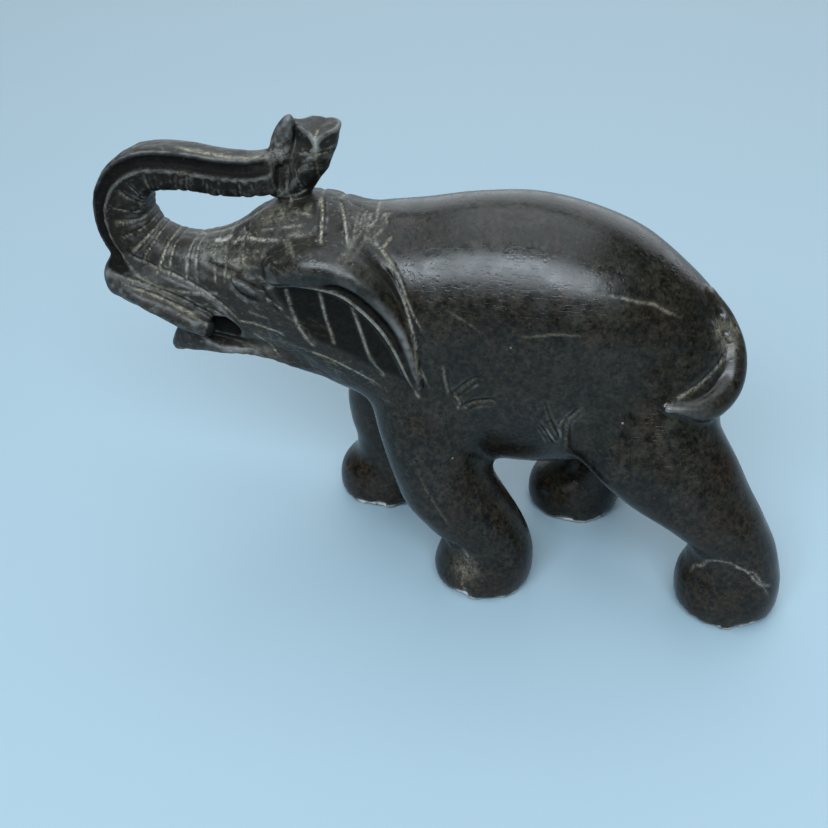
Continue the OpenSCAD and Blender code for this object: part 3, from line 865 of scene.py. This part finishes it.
def stone_material(name):
    """Dark stone: mottled green, grey and brown under a polish, duller and paler
    where it is only dressed, worn, chipped or dirty, and darkened with painted shade in hollows
    and grooves."""
    mat = bpy.data.materials.new(name)
    mat.use_nodes = True
    tree = mat.node_tree
    nodes, links = tree.nodes, tree.links
    shader = nodes["Principled BSDF"]
    place = nodes.new("ShaderNodeTexCoord").outputs["Object"]

    def put(value, socket):
        if isinstance(value, bpy.types.NodeSocket):
            links.new(value, socket)
        else:
            socket.default_value = value

    def noise(scale, detail=2.0, rough=0.5, warp=0.0, stretch=None):
        node = nodes.new("ShaderNodeTexNoise")
        source = place
        if stretch:
            turn = nodes.new("ShaderNodeMapping")
            turn.inputs["Scale"].default_value = stretch
            links.new(place, turn.inputs["Vector"])
            source = turn.outputs["Vector"]
        links.new(source, node.inputs["Vector"])
        node.inputs["Scale"].default_value = scale
        node.inputs["Detail"].default_value = detail
        node.inputs["Roughness"].default_value = rough
        node.inputs["Distortion"].default_value = warp
        return node.outputs["Fac"]

    def specks(scale):
        node = nodes.new("ShaderNodeTexVoronoi")
        links.new(place, node.inputs["Vector"])
        node.inputs["Scale"].default_value = scale
        return node.outputs["Distance"], node.outputs["Color"]

    def between(value, low, high, start=0.0, stop=1.0):
        node = nodes.new("ShaderNodeMapRange")
        node.interpolation_type = "SMOOTHSTEP"
        for socket, v in zip(node.inputs, (value, low, high, start, stop)):
            put(v, socket)
        return node.outputs["Result"]

    def sums(kind, a, b):
        node = nodes.new("ShaderNodeMath")
        node.operation = kind
        node.use_clamp = kind != "SUBTRACT"
        put(a, node.inputs[0])
        put(b, node.inputs[1])
        return node.outputs["Value"]

    def times(a, b):
        return sums("MULTIPLY", a, b)

    def blend(amount, under, over, kind="MIX"):
        node = nodes.new("ShaderNodeMix")
        node.data_type = "RGBA"
        node.blend_type = kind
        put(amount, node.inputs["Factor"])
        put(under, node.inputs["A"])
        put(over, node.inputs["B"])
        return node.outputs["Result"]

    def ramp(value, stops):
        node = nodes.new("ShaderNodeValToRGB")
        links.new(value, node.inputs["Fac"])
        first, last = node.color_ramp.elements
        for element, (at, colour) in zip((first, last), (stops[0], stops[-1])):
            element.position, element.color = at, colour
        for at, colour in stops[1:-1]:
            node.color_ramp.elements.new(at).color = colour
        return node.outputs["Color"]

    def attribute(name):
        node = nodes.new("ShaderNodeAttribute")
        node.attribute_name = name
        return node.outputs["Fac"]

    dirt, chip, dressed = attribute("dirt"), attribute("chip"), attribute("dressed")
    curve, shade = attribute("curve"), attribute("shade")

    # Body of the stone
    mottle = noise(70, 6, 0.65, 0.4)
    colour = ramp(mottle, [(0.30, NEAR_BLACK), (0.43, GREY_GREEN), (0.52, DARK_GREEN),
                           (0.62, BROWN), (0.78, NEAR_BLACK)])
    split = nodes.new("ShaderNodeSeparateXYZ")
    links.new(place, split.inputs["Vector"])
    low_down = between(split.outputs["Z"], 92 * MM, 66 * MM)
    patches = times(between(noise(26, 4, 0.6, 0.8), 0.44, 0.64), low_down)
    colour = blend(times(patches, 0.8), colour, OCHRE_BROWN)
    fine = blend(0.5, ramp(noise(380, 5, 0.75), FINE_GRAIN),
                 ramp(noise(900, 2, 0.7), FINE_GRAIN))
    colour = blend(1.0, colour, fine, "MULTIPLY")

    def grains(scale, size, share, strength):
        """How much of a scattered grain of about 1/scale metre covers a place."""
        at, tint = specks(scale)
        lone = between(times(tint, 1.0), 1 - share, 1.05 - share)
        return times(times(between(at, size, 0.5 * size), lone), strength)

    clumps = between(noise(45, 3), 0.36, 0.60)
    black = times(sums("ADD", grains(480, 0.46, 0.45, 0.95), grains(950, 0.46, 0.5, 0.9)),
                  clumps)
    colour = blend(black, colour, BLACK_GRAIN)
    colour = blend(grains(800, 0.4, 0.3, 0.5), colour, RUSTY_GRAIN)
    colour = blend(grains(600, 0.22, 0.06, 0.4), colour, PALE_GRIT)

    # Dressed stone is greyer, with fine pale flecks left by the chisel
    colour = blend(times(dressed, 0.5), colour, DRESSED_GREY)
    fleck = between(noise(420, 5, 0.7, 1.2, (1, 1, 2.2)), 0.56, 0.70)
    colour = blend(times(times(fleck, dressed), 0.2), colour, PALE_GRIT)

    # Wear on edges, shade in hollows
    worn = times(between(curve, 0.22, 0.95), between(noise(260, 4), 0.3, 0.62))
    colour = blend(times(worn, 0.45), colour, WORN_EDGE)
    hollow = sums("MAXIMUM", times(between(curve, -0.2, -0.9), 0.6), shade)
    colour = blend(times(hollow, 0.9), colour, PAINTED_SHADE_BLACK)

    # Dirt and powdered stone, broken up
    broken = between(noise(760, 5, 0.8, 0.5), 0.40, 0.60)
    powder = times(dirt, sums("ADD", broken, 0.12))
    grit = blend(between(noise(110), 0.4, 0.6), PALE_GRIT, YELLOW_GRIT)
    colour = blend(powder, colour, grit)
    colour = blend(times(chip, between(noise(700, 4), 0.2, 0.55)), colour, FRESH_CHIP)
    links.new(colour, shader.inputs["Base Color"])

    rough = between(noise(190, 4, 0.6), 0.3, 0.7, *POLISHED_ROUGH)
    rough = sums("ADD", rough, times(dressed, 0.15))
    rough = sums("ADD", rough, times(powder, 0.35))
    rough = sums("ADD", rough, times(chip, 0.3))
    links.new(rough, shader.inputs["Roughness"])
    dull = sums("ADD", shade, times(dressed, 0.3))
    gloss = times(sums("SUBTRACT", 1.05, dull), SHEEN)
    links.new(gloss, shader.inputs["Specular IOR Level"])

    def bump(height, depth_mm, under=None):
        node = nodes.new("ShaderNodeBump")
        node.inputs["Strength"].default_value = 0.6
        node.inputs["Distance"].default_value = depth_mm * MM
        links.new(height, node.inputs["Height"])
        if under:
            links.new(under, node.inputs["Normal"])
        return node.outputs["Normal"]

    grain = bump(noise(1500, 3, 0.6), 0.02)
    pits = bump(sums("SUBTRACT", 1.0, black), 0.06, grain)
    hair = between(noise(240, 2, 0.5, 0.0, (1, 6, 9)), 0.60, 0.66)
    scored = bump(sums("SUBTRACT", 1.0, hair), 0.015, pits)
    tooled = bump(times(noise(520, 4, 0.65, 0.5), dressed), 0.22, scored)
    links.new(tooled, shader.inputs["Normal"])
    return mat


# --- carving the stone and making its pieces ---

DRESSED_NODES = {"head", "trunk", "trunk_tip", "lower_jaw", "left_tusk", "right_tusk"}


def field_normals(stone, points):
    """Normals of the surface at points, and how sharply it curves there."""
    slope = np.stack(np.gradient(stone.solid, stone.step), -1)
    slope /= np.linalg.norm(slope, axis=3, keepdims=True) + 1e-6
    normal = np.column_stack([stone.sample(slope[..., k], points) for k in range(3)])
    normal /= np.linalg.norm(normal, axis=1)[:, None] + 1e-9
    spread = sum(np.gradient(slope[..., k], stone.step, axis=k) for k in range(3))
    return normal, stone.sample(spread, points)


def add_piece(node, points, quads, normal, measures, materials):
    """One piece of the stone, with the measures that its material reads."""
    used, local = np.unique(quads, return_inverse=True)
    local = local.reshape(quads.shape)
    mesh = bpy.data.meshes.new("stone_" + node)
    mesh.from_pydata(((points[used] + (MID_SHIFT, 0, 0)) * MM).tolist(), [], local.tolist())
    mesh.shade_smooth()
    piece = bpy.data.objects.new("stone_" + node, mesh)
    bpy.context.scene.collection.objects.link(piece)
    mesh.normals_split_custom_set_from_vertices(normal[used].tolist())
    for name, values in measures.items():
        layer = mesh.attributes.new(name, "FLOAT", "POINT")
        layer.data.foreach_set("value", values[used].astype(np.float32))
    slot = "dressed_stone" if node in DRESSED_NODES else "polished_stone"
    mesh.materials.append(materials[slot])
    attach(piece, "root")
    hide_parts(node)


stone = Stone(BLOCK_LOW, BLOCK_HIGH, STEP)
for number, (node, form, low, high, blend) in enumerate(PARTS, start=1):
    stone.add(number, form, low, high, blend)
stone.settle()
stone.engrave()
points, faces = skin(stone)
normal, curve = field_normals(stone, points)
marks = Marks(points).make()
measures = {"dirt": marks.dirt, "chip": marks.chip, "dressed": marks.dressed,
            "shade": marks.shade, "curve": curve}
materials = {slot: stone_material(slot) for slot in ("polished_stone", "dressed_stone")}
for number, quads in faces.items():
    add_piece(PARTS[number - 1][0], points, quads, normal, measures, materials)

# --- floor, light and camera ---

FLOOR_SIZE = 6
FLOOR_COLOUR = (0.20, 0.275, 0.315, 1)
FLOOR_ROUGH = 0.6
WORLD_COLOUR, WORLD_STRENGTH = (0.78, 0.87, 1, 1), 0.12
# Name, place and aim in metres, size, radiance and tint of each light
SOFTBOXES = [
    ("window", (0, -0.85, 0.85), (0, 0, 0.08), (1.2, 0.42), 19.5, (0.80, 0.90, 1)),
    ("ceiling", (0, 0.2, 1.3), (0, 0.2, 0), (1.2, 1.5), 3.3, (0.88, 0.95, 1)),
    ("backdrop", (0, 1.7, 0.75), (0, 0, 0.1), (3.0, 1.4), 1.8, (0.86, 0.94, 1)),
]
CAMERA_AT = (41.9, -260.3, 213.9)
CAMERA_TURN, CAMERA_DOWN, CAMERA_ROLL = 11.5, 33.73, -1.43  # degrees
LENS, SENSOR = 52.43, 36

bpy.ops.mesh.primitive_plane_add(size=FLOOR_SIZE)
floor = bpy.context.object
floor.name = "floor"
floor_material = bpy.data.materials.new("floor")
floor_material.use_nodes = True
floor_inputs = floor_material.node_tree.nodes["Principled BSDF"].inputs
floor_inputs["Base Color"].default_value = FLOOR_COLOUR
floor_inputs["Roughness"].default_value = FLOOR_ROUGH
floor.data.materials.append(floor_material)

bpy.context.scene.view_settings.view_transform = "Standard"
world = bpy.data.worlds.new("studio")
bpy.context.scene.world = world
world.use_nodes = True
world_inputs = world.node_tree.nodes["Background"].inputs
world_inputs["Color"].default_value = WORLD_COLOUR
world_inputs["Strength"].default_value = WORLD_STRENGTH


def softbox(name, place, aim, size, radiance, tint):
    """A rectangle of even light, as bright as `radiance` to look at."""
    data = bpy.data.lights.new(name, "AREA")
    data.shape = "RECTANGLE"
    data.size, data.size_y = size
    data.energy = radiance * math.pi * size[0] * size[1]
    data.color = tint
    lamp = bpy.data.objects.new(name, data)
    bpy.context.scene.collection.objects.link(lamp)
    lamp.location = place
    lamp.rotation_euler = (Vector(aim) - Vector(place)).to_track_quat("-Z", "Y").to_euler()


for row in SOFTBOXES:
    softbox(*row)

camera_data = bpy.data.cameras.new("camera")
camera_data.lens = LENS
camera_data.sensor_width = SENSOR
camera = bpy.data.objects.new("camera", camera_data)
bpy.context.scene.collection.objects.link(camera)
camera.matrix_world = (Matrix.Translation([c * MM for c in CAMERA_AT])
                       @ Matrix.Rotation(math.radians(CAMERA_TURN), 4, "Z")
                       @ Matrix.Rotation(math.radians(90 - CAMERA_DOWN), 4, "X")
                       @ Matrix.Rotation(math.radians(CAMERA_ROLL), 4, "Z"))
bpy.context.scene.camera = camera
